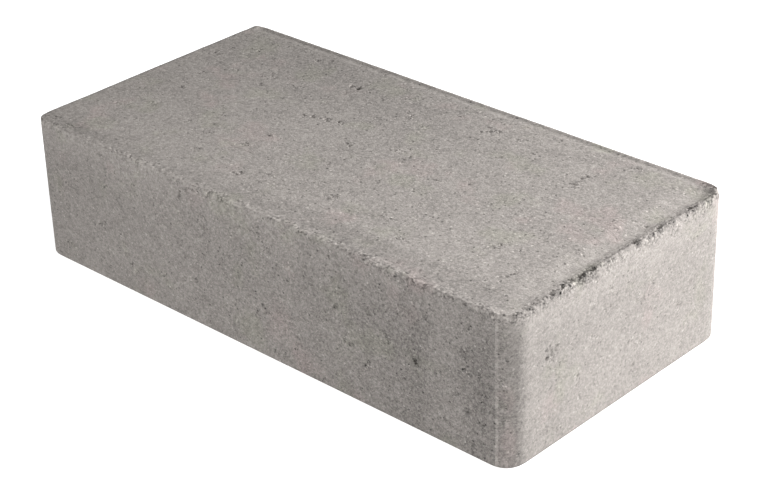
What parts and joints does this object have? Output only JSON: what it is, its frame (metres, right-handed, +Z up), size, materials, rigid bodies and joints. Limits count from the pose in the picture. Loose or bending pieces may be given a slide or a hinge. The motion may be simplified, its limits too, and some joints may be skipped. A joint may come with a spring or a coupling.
{
  "type": "concrete paving stone",
  "caption": "Rectangular pressed concrete paving stone with rounded plan corners, a flat wearing face, and a low crumbly burr behind a shallow margin along two of its top edges.",
  "frame": {"origin": "middle of the bed face, on the ground it lies on", "axes": "+X along the stone's length, +Y across its width, +Z up out of the wearing face"},
  "size_m": [0.21, 0.105, 0.0515],
  "materials": {
    "concrete": "rough cast and pressed concrete, warm grey with fine sand grains, pits and soft blotches"
  },
  "bodies": {
    "root": {"paving_stone": "concrete"}
  },
  "joints": []
}
